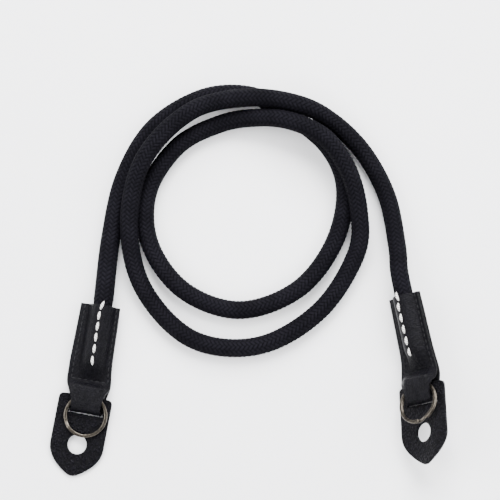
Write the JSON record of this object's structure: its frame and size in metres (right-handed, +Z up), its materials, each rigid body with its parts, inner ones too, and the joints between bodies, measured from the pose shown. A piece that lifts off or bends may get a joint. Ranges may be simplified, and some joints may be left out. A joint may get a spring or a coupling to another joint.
{
  "type": "rope camera strap",
  "caption": "Braided rope camera strap with a stitched leather end at each side, each with a split ring through its loop and a pierced guard flap.",
  "frame": {"origin": "on the table, under the middle of the box round the two leather ends", "axes": "+X to the right ring, +Y from the leather ends to the coils, +Z up from the table"},
  "size_m": [0.2188, 0.2221, 0.0271],
  "materials": {
    "rope": "braided polyamide cover, matt",
    "sleeve_leather": "smooth black leather, slight sheen",
    "flap_leather": "pebbled black leather",
    "ring": "aged nickel plate"
  },
  "bodies": {
    "strap": {"rope": "rope", "left_sleeve": "sleeve_leather", "right_sleeve": "sleeve_leather", "left_flap": "flap_leather", "right_flap": "flap_leather"},
    "left_ring": {"left_ring": "ring"},
    "right_ring": {"right_ring": "ring"}
  },
  "joints": [
    {"name": "left_ring_turn", "type": "hinge", "parent": "strap", "child": "left_ring", "pos_m": [-0.0895, -0.0175, 0.0051], "axis": [-0.0084, -0.0463, 0.9989], "continuous": true},
    {"name": "right_ring_turn", "type": "hinge", "parent": "strap", "child": "right_ring", "pos_m": [0.0942, -0.0108, 0.0164], "axis": [-0.6505, 0.2952, 0.6998], "continuous": true}
  ]
}
